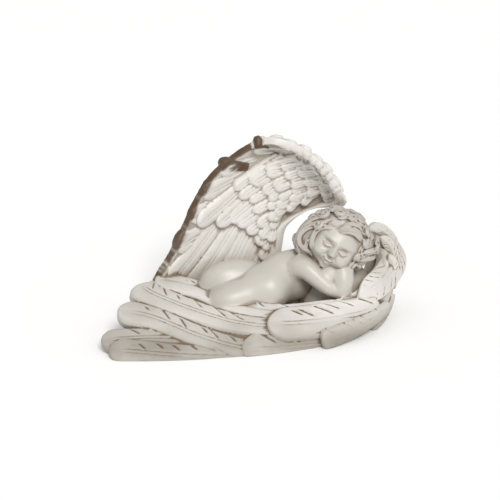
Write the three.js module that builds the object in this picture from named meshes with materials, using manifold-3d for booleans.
// A cupid asleep between its own two wings: a table figurine cast in one piece.
// One wing lies along the ground in front of the child and curls up round its head.
// The other stands behind it and rolls forward over it like a wave.
// Millimetres. +X runs from the wing tips to the head, +Y to the raised wing, +Z up.
// The form is drawn at its real size, about 216 mm long.

import * as THREE from "three";
import { mergeVertices } from "three/addons/utils/BufferGeometryUtils.js";
import Module from "manifold-3d";

const wasm = await Module();
wasm.setup();

// Raised wing: a sheet measured from its palm, u along +X and v up, that rolls forward at its rim.
const PALM = new THREE.Vector3(14, 58, 62);
const ROLL_START = 43;
const ROLL_RADIUS = 22;
const ROLL_SECTOR = [0, 80];
const ROLL_FADE = 45;
const LEAN_BACK = 0.08;
const EDGE_CUP = 8;
const EDGE_CUP_WIDTH = 30;
const TRAILING_EDGE = [[-64, -34], [-40, 6]];
const RAISED_THICKNESS = 5;

// Lying wing: frames from the feather tips round to behind the head, each with a foot, a flank and a rim.
const LYING_FOOT = [
  [-93, -7, 0], [-68, -14, 0], [-40, -20, 0], [-10, -24, 0], [20, -25, 0],
  [48, -22, 0], [70, -13, 0], [86, 2, 0], [93, 22, 0], [90, 46, 0],
];
const LYING_FLANK = [
  [-88, 16, 16], [-62, 12, 17], [-37, 3, 15], [-10, -8, 12], [20, -17, 11],
  [50, -21, 14], [78, -14, 15], [99, 2, 17], [111, 22, 25], [113, 46, 32],
];
const LYING_RIM = [
  [-74, 41, 33], [-50, 45, 31], [-24, 36, 27], [-4, 16, 21], [20, 1, 20],
  [46, -6, 24], [68, -5, 27], [81, 2, 31], [100, 18, 42], [103, 43, 53],
];
const LYING_START = 7;
const LYING_THICKNESS = 6;

// Nest floor under the child, from the front foot back to the raised wing.
const FLOOR_CENTRE = [8, 22, 0];
const FLOOR_RADII = [84, 36, 13];
const HEAP_CENTRE = [-34, 42, 0];
const HEAP_RADII = [40, 16, 27];
const FILLED_UNTIL = [34, 48];
const PILLOW_CENTRE = [72, 27, 0];
const PILLOW_RADII = [30, 22, 41];

// Feathers.
const FEATHER_CAMBER = 1;
const STEP_DOWN = 2.4;

// Child: blobs of its torso (centre, radii), limbs (points, radii) and head.
const TORSO = [
  [[-6, 21, 20], [21, 15, 16]],
  [[12, 26, 26], [14, 15, 15.5]],
  [[20, 17, 26], [12, 13, 15]],
  [[31, 28, 35], [14, 12, 15.5]],
  [[40, 31, 26], [15, 13, 14]],
  [[46, 31, 38], [12, 12, 13]],
];
const TORSO_BLEND = 2.6;
const TORSO_SPINE = [[-12, 24, 22], [40, 28, 33]];
const FAR_CHEEK = { centre: [-2, 33, 30], radii: [25, 12.5, 16] };
const UPPER_ARM = [[38, 23, 40], [43.5, 14, 42], [49, 8, 37], [55, 3.5, 31.5], [61, 0, 27]];
const UPPER_ARM_RADII = [11, 8.2, 6.6, 6, 6];
const FOREARM = [[61, 0, 27], [65, 1, 29], [67, 3, 34], [67, 8, 43]];
const FOREARM_RADII = [6, 7, 8, 8.5];
const FOOT = [[-24, 26, 22], [-32, 30, 25], [-41, 33, 23]];
const FOOT_RADII = [7, 6, 4.4];

const HEAD_CENTRE = new THREE.Vector3(65.8, 16, 58.5);
const HEAD_RADII = [18, 18.5, 17.5];
const HEAD_FRONT = new THREE.Vector3(-0.354, -0.935, 0.043);
const HEAD_UP = new THREE.Vector3(0.521, -0.159, 0.839);
// Face relief: side, up, half widths in side and up (shares of the head), height in millimetres.
const FACE = [
  [0, 0.05, 0.1, 0.2, 1.6],
  [0.37, 0.02, 0.2, 0.15, -2.6],
  [-0.37, 0.02, 0.2, 0.15, -2.6],
  [0.47, -0.38, 0.25, 0.22, 3],
  [-0.47, -0.38, 0.25, 0.22, 3],
  [0, -0.73, 0.19, 0.13, 3],
];
// Rounded forms set into the face: side, up, radii across, up and out, how far the middle is sunk.
const FACE_FORMS = [
  { side: 0, up: -0.13, radii: [2.7, 3.8, 3.8], sunk: 0.4 },
  { side: 0.36, up: -0.02, radii: [4, 2.4, 2.2], sunk: 0.4 },
  { side: -0.36, up: -0.02, radii: [4, 2.4, 2.2], sunk: 0.4 },
  { side: 0, up: -0.43, radii: [3.8, 1.3, 2.2], sunk: 0.5 },
  { side: 0, up: -0.55, radii: [3, 1.3, 2.2], sunk: 0.5 },
];
// Hairline: degrees round the face from the crown, and degrees away from the face.
const HAIRLINE = [[0, 48], [90, 64], [135, 72], [180, 150]];
const HAIR_THICKNESS = 2.2;
// Fuller hair over the temples: degrees away from the face, degrees round it, spread, height.
const TEMPLE_HAIR = [
  { away: 82, around: -131, spread: 36, height: 8 },
  { away: 90, around: 72, spread: 30, height: 6.5 },
];
// Curls of hair, in arcs round the face.
const CURL_ARCS = [
  { away: 66, count: 4, from: -72, to: 96, radius: 5 },
  { away: 98, count: 3, from: -60, to: 84, radius: 6 },
];
const CURL_TUBE = 1.9;

// Solids and shapes.

// A closed geometry as a solid, turned right side out.
function solidOf(geometry) {
  const bare = geometry.clone();
  bare.deleteAttribute("normal");
  bare.deleteAttribute("uv");
  const merged = mergeVertices(bare, 1e-3);
  const points = merged.attributes.position.array;
  const corners = [];
  const index = merged.index.array;
  for (let i = 0; i < index.length; i += 3) {
    const [a, b, c] = [index[i], index[i + 1], index[i + 2]];
    if (a !== b && b !== c && c !== a) corners.push(a, b, c);
  }
  let volume = 0;
  const at = (i) => new THREE.Vector3(...points.subarray(3 * i, 3 * i + 3));
  for (let i = 0; i < corners.length; i += 3)
    volume += at(corners[i]).dot(at(corners[i + 1]).cross(at(corners[i + 2])));
  if (volume < 0)
    for (let i = 0; i < corners.length; i += 3)
      [corners[i + 1], corners[i + 2]] = [corners[i + 2], corners[i + 1]];
  return new wasm.Manifold(
    new wasm.Mesh({ numProp: 3, vertProperties: points, triVerts: new Uint32Array(corners) }),
  );
}

// Moves every vertex of a geometry by a rule that takes and returns a Vector3.
function shaped(geometry, rule) {
  const position = geometry.attributes.position;
  const vertex = new THREE.Vector3();
  for (let i = 0; i < position.count; i++) {
    vertex.fromBufferAttribute(position, i);
    position.setXYZ(i, ...rule(vertex.clone()).toArray());
  }
  return geometry;
}

// A slab with along * across cells, placed by (a, b, c): 0 to 1 along, -1 to 1 across, 0 under to 1 over.
function slab(along, across, place) {
  return shaped(new THREE.BoxGeometry(1, 1, 1, along, across, 1), (p) =>
    place(p.x + 0.5, p.y * 2, p.z + 0.5),
  );
}

const mix = THREE.MathUtils.lerp;
const smooth = THREE.MathUtils.smoothstep;
const spline = (points) => new THREE.CatmullRomCurve3(points.map((p) => new THREE.Vector3(...p)));

// The raised wing's middle surface at (u, v).
function raisedMiddle(u, v) {
  const reach = Math.hypot(u, v);
  const heading = THREE.MathUtils.radToDeg(Math.atan2(v, u));
  const weight =
    smooth(heading, ROLL_SECTOR[0] - ROLL_FADE, ROLL_SECTOR[0]) *
    (1 - smooth(heading, ROLL_SECTOR[1], ROLL_SECTOR[1] + ROLL_FADE));
  const radius = ROLL_RADIUS / Math.max(weight, 1e-3);
  const turn = Math.max(0, reach - ROLL_START) / radius;
  const out = reach > ROLL_START ? (ROLL_START + radius * Math.sin(turn)) / reach : 1;
  const forward = radius * (1 - Math.cos(turn));
  const [low, high] = TRAILING_EDGE;
  const run = Math.hypot(high[0] - low[0], high[1] - low[1]);
  const inward = ((u - low[0]) * (high[1] - low[1]) - (v - low[1]) * (high[0] - low[0])) / run;
  const cup = EDGE_CUP * THREE.MathUtils.clamp(1 - inward / EDGE_CUP_WIDTH, 0, 1.3) ** 2;
  return new THREE.Vector3(
    PALM.x + u * out,
    PALM.y - forward - cup + LEAN_BACK * v,
    PALM.z + v * out,
  );
}

// The lying wing's outer surface at (s, h): s 0 at the tips to 100 behind the head,
// h 0 at the foot to 100 at the rim.
const footLine = spline(LYING_FOOT);
const flankLine = spline(LYING_FLANK);
const rimLine = spline(LYING_RIM);
function lyingOuter(s, h) {
  const t = THREE.MathUtils.clamp(s / 100, 0, 1);
  const k = h / 100;
  const past = s / 100 - t;
  const foot = footLine.getPoint(t);
  const flank = flankLine.getPoint(t);
  const rim = rimLine.getPoint(t);
  if (past !== 0)
    for (const [p, line] of [[foot, footLine], [flank, flankLine], [rim, rimLine]])
      p.addScaledVector(line.getTangent(t), past * line.getLength());
  return foot
    .multiplyScalar((1 - k) * (1 - 2 * k))
    .addScaledVector(flank, 4 * k * (1 - k))
    .addScaledVector(rim, k * (2 * k - 1));
}

// Local frame of a sheet at (u, v): the point, both derivatives and the unit normal.
const STEP = 0.05;
function frameAt(middle, u, v) {
  const point = middle(u, v);
  const du = middle(u + STEP, v).sub(middle(u - STEP, v)).divideScalar(2 * STEP);
  const dv = middle(u, v + STEP).sub(middle(u, v - STEP)).divideScalar(2 * STEP);
  const normal = du.clone().cross(dv).normalize();
  return { point, du, dv, normal };
}

// A point on a sheet lifted along its normal.
function onSheet(middle, u, v, lift) {
  const { point, normal } = frameAt(middle, u, v);
  return point.addScaledVector(normal, lift);
}

// Stations along a feather, as shares of its length and of its widest half width: a body, then a round tip.
const TIP_TURNS = [50, 90];
function featherStations(round, cells) {
  const body = Array.from({ length: cells + 1 }, (_, i) => [
    (i / cells) * (1 - round),
    mix(0.55, 1, Math.sqrt(i / cells)),
  ]);
  const tip = TIP_TURNS.map(THREE.MathUtils.degToRad).map((turn) => [
    1 - round * (1 - Math.sin(turn)),
    Math.max(0.3, Math.cos(turn)),
  ]);
  return [...body, ...tip];
}

// A feather from quill to tip, both in sheet coordinates. level is the lift of its upper face at the tip.
function feather(middle, quill, tip, width, { level, under = -1, bow = 0, side = 1, across = 2, body = 2 }) {
  const shaft = [tip[0] - quill[0], tip[1] - quill[1]];
  const centre = (a) => {
    const arch = bow * 4 * a * (1 - a);
    return [quill[0] + shaft[0] * a - shaft[1] * arch, quill[1] + shaft[1] * a + shaft[0] * arch];
  };
  const length = onSheet(middle, ...quill, 0).distanceTo(onSheet(middle, ...tip, 0));
  const stations = featherStations(Math.min(0.5, (0.5 * width) / length), body);
  return slab(stations.length - 1, across, (share, b, c) => {
    const [a, wide] = stations[Math.round(share * (stations.length - 1))];
    const [u, v] = centre(a);
    const [near, far] = [centre(a - 0.01), centre(a + 0.01)];
    const { du, dv, normal } = frameAt(middle, u, v);
    const along = du.clone().multiplyScalar(far[0] - near[0]).addScaledVector(dv, far[1] - near[1]);
    const sideways = normal.clone().cross(along).normalize();
    const [uu, uv, vv] = [du.dot(du), du.dot(dv), dv.dot(dv)];
    const [su, sv] = [sideways.dot(du), sideways.dot(dv)];
    const reach = (b * width * wide) / 2 / (uu * vv - uv * uv);
    const atU = u + reach * (su * vv - sv * uv);
    const atV = v + reach * (sv * uu - su * uv);
    const crown = level - STEP_DOWN * (1 - a) + FEATHER_CAMBER * (1 - b * b);
    return onSheet(middle, atU, atV, side * (c > 0.5 ? crown : under));
  });
}

// A row of feathers, evenly spread between two curves: where the quills start and where the tips end.
function featherRow(middle, { count, quills, tips, width, level, ...rest }) {
  const [quillLine, tipLine] = [flat(quills), flat(tips)];
  return Array.from({ length: count }, (_, i) => {
    const t = count > 1 ? i / (count - 1) : 0.5;
    const [quill, tip] = [quillLine.getPoint(t), tipLine.getPoint(t)];
    const wide = mix(width[0], width[1], t);
    const options = { level: level + 0.4 * (i % 2), ...rest };
    return feather(middle, [quill.x, quill.y], [tip.x, tip.y], wide, options);
  });
}

// A limb swept along points with a radius at each, round at both ends.
function limb(points, radii, rings = 7, sectors = 8) {
  const line = spline(points);
  const girth = spline(radii.map((r, i) => [i, r, 0]));
  return shaped(new THREE.SphereGeometry(1, sectors, rings), (p) => {
    const t = (1 - p.y) / 2;
    const along = line.getTangent(t);
    const side = new THREE.Vector3(0, 0, 1).cross(along).normalize();
    const up = along.clone().cross(side);
    const radius = girth.getPoint(t).y;
    const round = Math.hypot(p.x, p.z);
    const ring = round > 0 ? Math.min(1, 1.35 * round) / round : 0;
    return line
      .getPoint(t)
      .addScaledVector(along, -p.y * radius * 0.75 * (1 - round))
      .addScaledVector(side, p.x * ring * radius)
      .addScaledVector(up, p.z * ring * radius);
  });
}

// How far a point is outside the torso, which is its blobs melted together.
function torsoDepth(p) {
  let sum = 0;
  for (const [centre, radii] of TORSO) {
    const scaled = Math.hypot(...[0, 1, 2].map((i) => (p.getComponent(i) - centre[i]) / radii[i]));
    sum += Math.exp((-(scaled - 1) * Math.min(...radii)) / TORSO_BLEND);
  }
  return -TORSO_BLEND * Math.log(sum);
}

// The torso's skin, found along rays from its spine.
function torso(rings = 15, sectors = 13) {
  const [from, to] = TORSO_SPINE.map((p) => new THREE.Vector3(...p));
  const along = to.clone().sub(from).normalize();
  const side = new THREE.Vector3(0, 0, 1).cross(along).normalize();
  const up = along.clone().cross(side);
  return shaped(new THREE.SphereGeometry(1, sectors, rings), (p) => {
    const start = from.clone().lerp(to, (1 - p.y) / 2);
    const ray = along.clone().multiplyScalar(-p.y);
    ray.addScaledVector(side, p.x).addScaledVector(up, p.z).normalize();
    let [inside, outside] = [0, 60];
    for (let i = 0; i < 22; i++) {
      const half = (inside + outside) / 2;
      if (torsoDepth(start.clone().addScaledVector(ray, half)) < 0) inside = half;
      else outside = half;
    }
    return start.addScaledVector(ray, inside);
  });
}

// The head's own axes: side, up and front.
const headFront = HEAD_FRONT.clone().normalize();
const headSide = HEAD_UP.clone().cross(headFront).normalize();
const headUp = headFront.clone().cross(headSide);
function onHead(side, up, front) {
  return HEAD_CENTRE.clone()
    .addScaledVector(headSide, side)
    .addScaledVector(headUp, up)
    .addScaledVector(headFront, front);
}

// A direction from the head's centre: away from the face and round it clockwise from the crown, in degrees.
function fromFace(away, around) {
  const [a, b] = [away, around].map(THREE.MathUtils.degToRad);
  return new THREE.Vector3(Math.sin(a) * Math.sin(b), Math.sin(a) * Math.cos(b), Math.cos(a));
}

// Height of the hair over the skull in a direction (side, up, front).
function hairHeight(direction) {
  const away = THREE.MathUtils.radToDeg(Math.acos(THREE.MathUtils.clamp(direction.z, -1, 1)));
  const around = Math.abs(THREE.MathUtils.radToDeg(Math.atan2(direction.x, direction.y)));
  const next = Math.max(1, HAIRLINE.findIndex(([at]) => at >= around));
  const [[before, nearer], [after, farther]] = HAIRLINE.slice(next - 1, next + 1);
  const line = mix(nearer, farther, (around - before) / (after - before));
  let height = HAIR_THICKNESS;
  for (const lump of TEMPLE_HAIR) {
    const apart = THREE.MathUtils.radToDeg(direction.angleTo(fromFace(lump.away, lump.around)));
    height += lump.height * Math.exp(-((apart / lump.spread) ** 2));
  }
  return height * smooth(away, line - 4, line + 10);
}

// The skin or hair of the head in a direction from its centre.
function headSurface(direction) {
  const { x: side, y: up, z: front } = direction;
  let bump = hairHeight(direction);
  if (front > 0)
    for (const [s, u, wide, tall, height] of FACE)
      bump += height * Math.exp(-(((side - s) / wide) ** 2) - ((up - u) / tall) ** 2);
  return onHead(...[side, up, front].map((share, i) => share * (HEAD_RADII[i] + bump)));
}

// The head, with its finest cells on the face.
function head(sectors = 18, rings = 14) {
  return shaped(new THREE.SphereGeometry(1, sectors, rings), (p) => {
    const away = 180 * (Math.acos(THREE.MathUtils.clamp(p.y, -1, 1)) / Math.PI) ** 1.35;
    const around = THREE.MathUtils.radToDeg(Math.atan2(p.x, p.z));
    return headSurface(fromFace(away, around));
  });
}

// Nose, closed lids and lips, each half sunk in the face.
function faceForms() {
  return FACE_FORMS.map(({ side, up, radii, sunk }) => {
    const out = new THREE.Vector3(side, up, Math.sqrt(1 - side * side - up * up));
    const axes = new THREE.Matrix4().makeBasis(headSide, headUp, headFront);
    const centre = headSurface(out).addScaledVector(headFront, -sunk);
    const form = new THREE.SphereGeometry(1, 8, 5).scale(...radii);
    return form.applyMatrix4(axes).translate(...centre.toArray());
  });
}

// Curls of hair, each a ring lying on the head.
function curls() {
  return CURL_ARCS.flatMap(({ away, count, from, to, radius }) =>
    Array.from({ length: count }, (_, i) => {
      const out = fromFace(away, mix(from, to, i / (count - 1)));
      const centre = headSurface(out);
      const normal = centre.clone().sub(HEAD_CENTRE).normalize();
      const ring = new THREE.TorusGeometry(radius - CURL_TUBE, CURL_TUBE, 4, 6);
      ring.applyQuaternion(new THREE.Quaternion().setFromUnitVectors(new THREE.Vector3(0, 0, 1), normal));
      return ring.translate(...centre.addScaledVector(normal, 0.9).toArray());
    }),
  );
}

// The raised wing: a smooth sheet, then rows of feathers on its inner side and plainer ones on its back.
const RAISED_LEADING = [
  [22, -62], [22, -40], [23.5, -25], [25, -14], [27.5, -4], [33, 1.5], [42, 6.5], [53, 9.5], [65, 12.5],
  [75, 19], [77, 30], [71, 41], [61, 53], [49, 64], [35, 72], [20, 75], [10, 68],
];
const RAISED_TRAILING = [
  [-4, -62], [-40, -60], [-60, -46], [-66, -34], [-54, -13], [-40, 6], [-32, 22], [-20, 38],
  [-8, 46], [5, 52], [9, 60],
];
const flat = (points) => spline(points.map(([u, v]) => [u, v, 0]));
// Stations across the sheet: shares of the web from the trailing edge, then shares of the bar with its rise.
const WEB = [1, 0.62, 0.3];
const BAR = [[1, 0], [0.67, 0.85], [0.27, 0.9], [0, 0.2]];
const BAR_WIDTH = 15;
const BAR_HEIGHT = 4;
const BAR_FADE = [0.5, 0.66];
function raisedSheet() {
  const [leading, trailing] = [flat(RAISED_LEADING), flat(RAISED_TRAILING)];
  const across = WEB.length + BAR.length - 1;
  return slab(15, across, (a, b, c) => {
    const [edge, far] = [leading.getPoint(a), trailing.getPoint(a)];
    const span = edge.distanceTo(far);
    const bar = Math.min(BAR_WIDTH, span / 2);
    const station = Math.round(((b + 1) / 2) * across);
    const [share, rise] = BAR[station - WEB.length] ?? [0, 0];
    const inward = station < WEB.length ? mix(bar, span, WEB[station]) : share * bar;
    const at = edge.lerp(far, inward / span);
    const half = (RAISED_THICKNESS / 2) * (inward > 0 ? 1 : 0.4);
    const height = BAR_HEIGHT * (1 - smooth(a, ...BAR_FADE));
    return onSheet(raisedMiddle, at.x, at.y, c > 0.5 ? half + rise * height : -half);
  });
}

const RAISED_ROWS = [
  {
    count: 4, width: [24, 14], level: 2.4, under: -2.6, bow: 0.02,
    quills: [[-6, 4], [6, 34], [24, 50], [44, 58]],
    tips: [[-72, -34], [-46, 11], [-19, 48], [7, 60]],
  },
  {
    count: 6, width: [24, 14], level: 4, bow: 0.03,
    quills: [[-12, 19], [-3, 9], [4, 1], [11, -5.5], [16, -13.6], [19, -21.5]],
    tips: [[-62, -35], [-41, -46], [-25, -48], [-9, -50], [5, -48], [15, -42]],
  },
  {
    count: 6, width: [18, 12], level: 5.2, bow: 0.04,
    quills: [[6, 38], [11, 30], [15, 23], [18, 15.5], [20, 8], [21, -3]],
    tips: [[-39, 7], [-22, 4], [-12, 4], [-3.6, -3], [5, -13], [12, -26]],
  },
  {
    count: 6, width: [15, 10], level: 6.6, bow: 0.05, across: 1,
    quills: [[27, 52], [28, 44], [29, 36], [30, 28], [31, 18], [30, 9], [28, 0]],
    tips: [[-6, 31], [3, 28], [8, 22], [12, 14], [15, 6], [17, -4], [18, -15]],
  },
  {
    count: 6, width: [12, 10], level: 7.6, bow: 0.05, across: 1,
    quills: [[44, 50], [46, 38], [45, 24], [40, 11]],
    tips: [[25, 38], [28, 27], [28, 14], [27, 3]],
  },
  {
    count: 4, width: [16, 14], level: 6, bow: 0.05, across: 1,
    quills: [[38, 66], [55, 54], [67, 41], [73, 27]],
    tips: [[36, 46], [45, 37], [52, 28], [58, 19]],
  },
  {
    count: 4, width: [22, 18], level: 3.4, side: -1, across: 1,
    quills: [[-8, 10], [6, 2], [12, -8], [20, -16]],
    tips: [[-60, -30], [-40, -46], [-4, -52], [20, -52]],
  },
  {
    count: 3, width: [26, 20], level: 4.6, side: -1, across: 1,
    quills: [[24, 50], [24, 30], [26, 10], [28, -6]],
    tips: [[-22, 34], [-26, 6], [-4, -14], [18, -30]],
  },
  {
    count: 5, width: [20, 18], level: 3.2, under: -2.4, side: -1, across: 1,
    quills: [[10, 46], [28, 52], [46, 44], [56, 30], [56, 14]],
    tips: [[9, 66.5], [32, 72], [55, 57], [70, 38.5], [74.5, 22]],
  },
];

const LYING_UNDER = -4;
const LYING_FEATHERS = [
  { quill: [28, 28], tip: [-2.5, 30], width: 17, level: 1.4, body: 3 },
  { quill: [36, -4], tip: [-1, 10], width: 21, level: 2.6, body: 4 },
  { quill: [38, 4], tip: [1, 64], width: 20, level: 3, bow: -0.03, body: 4 },
  { quill: [48, 56], tip: [2, 91], width: 21, level: 3.8, bow: 0.2, body: 5 },
  { quill: [72, 58], tip: [40.5, 60], width: 25, level: 4.2, body: 4 },
  { quill: [74, 48], tip: [53, 15], width: 13, level: 5.6, bow: -0.05, body: 3 },
  { quill: [92, 72], tip: [65, 84], width: 20, level: 4.8, body: 3 },
  { quill: [84, 56], tip: [101, 66], width: 14, level: 3.4, body: 3 },
  { quill: [84, 84], tip: [104, 100], width: 14, level: 3.8, body: 3 },
];

function lyingSheet() {
  return slab(19, 4, (a, b, c) => {
    const s = mix(LYING_START, 100, a);
    const outer = onSheet(lyingOuter, s, 50 * (b + 1), 0);
    if (c > 0.5) return outer;
    const inner = onSheet(lyingOuter, s, 50 * (b + 1), -LYING_THICKNESS);
    return inner.lerp(outer.setZ(-2), 1 - smooth(s, ...FILLED_UNTIL));
  });
}

const mound = (centre, radii) =>
  new THREE.SphereGeometry(1, 14, 8).scale(...radii).translate(...centre);

const parts = [
  raisedSheet(),
  ...RAISED_ROWS.flatMap((row) => featherRow(raisedMiddle, row)),
  lyingSheet(),
  ...LYING_FEATHERS.map(({ quill, tip, width, ...rest }) =>
    feather(lyingOuter, quill, tip, width, { under: LYING_UNDER, ...rest }),
  ),
  mound(FLOOR_CENTRE, FLOOR_RADII),
  mound(HEAP_CENTRE, HEAP_RADII),
  mound(PILLOW_CENTRE, PILLOW_RADII),
  mound(FAR_CHEEK.centre, FAR_CHEEK.radii),
  torso(),
  limb(UPPER_ARM, UPPER_ARM_RADII, 8, 8),
  limb(FOREARM, FOREARM_RADII, 6, 8),
  limb(FOOT, FOOT_RADII, 5, 6),
  head(),
  ...faceForms(),
  ...curls(),
];

// Everything below the table, well past the casting all round.
const GROUND = [400, 400, 40];
const ground = new THREE.BoxGeometry(...GROUND).translate(0, 0, -GROUND[2] / 2);
const whole = wasm.Manifold.union(parts.map(solidOf)).subtract(solidOf(ground));

// Tiny hollows can be left shut in between overlapping feathers, so only the outer body is kept.
const [body] = whole.decompose().sort((a, b) => b.volume() - a.volume());
const mesh = body.getMesh();
const geometry = new THREE.BufferGeometry();
geometry.setAttribute("position", new THREE.BufferAttribute(mesh.vertProperties, 3));
geometry.setIndex(new THREE.BufferAttribute(mesh.triVerts, 1));

// The origin sits under the middle of the piece.
geometry.computeBoundingBox();
const { min, max } = geometry.boundingBox;
geometry.translate(-(min.x + max.x) / 2, -(min.y + max.y) / 2, -min.z);
geometry.computeVertexNormals();

const resin = new THREE.MeshStandardMaterial({ color: 0xe9e4da, roughness: 0.45, metalness: 0 });
const figurine = new THREE.Mesh(geometry, resin);
figurine.name = "cupid_figurine";

const group = new THREE.Group();
group.add(figurine);
export default group;
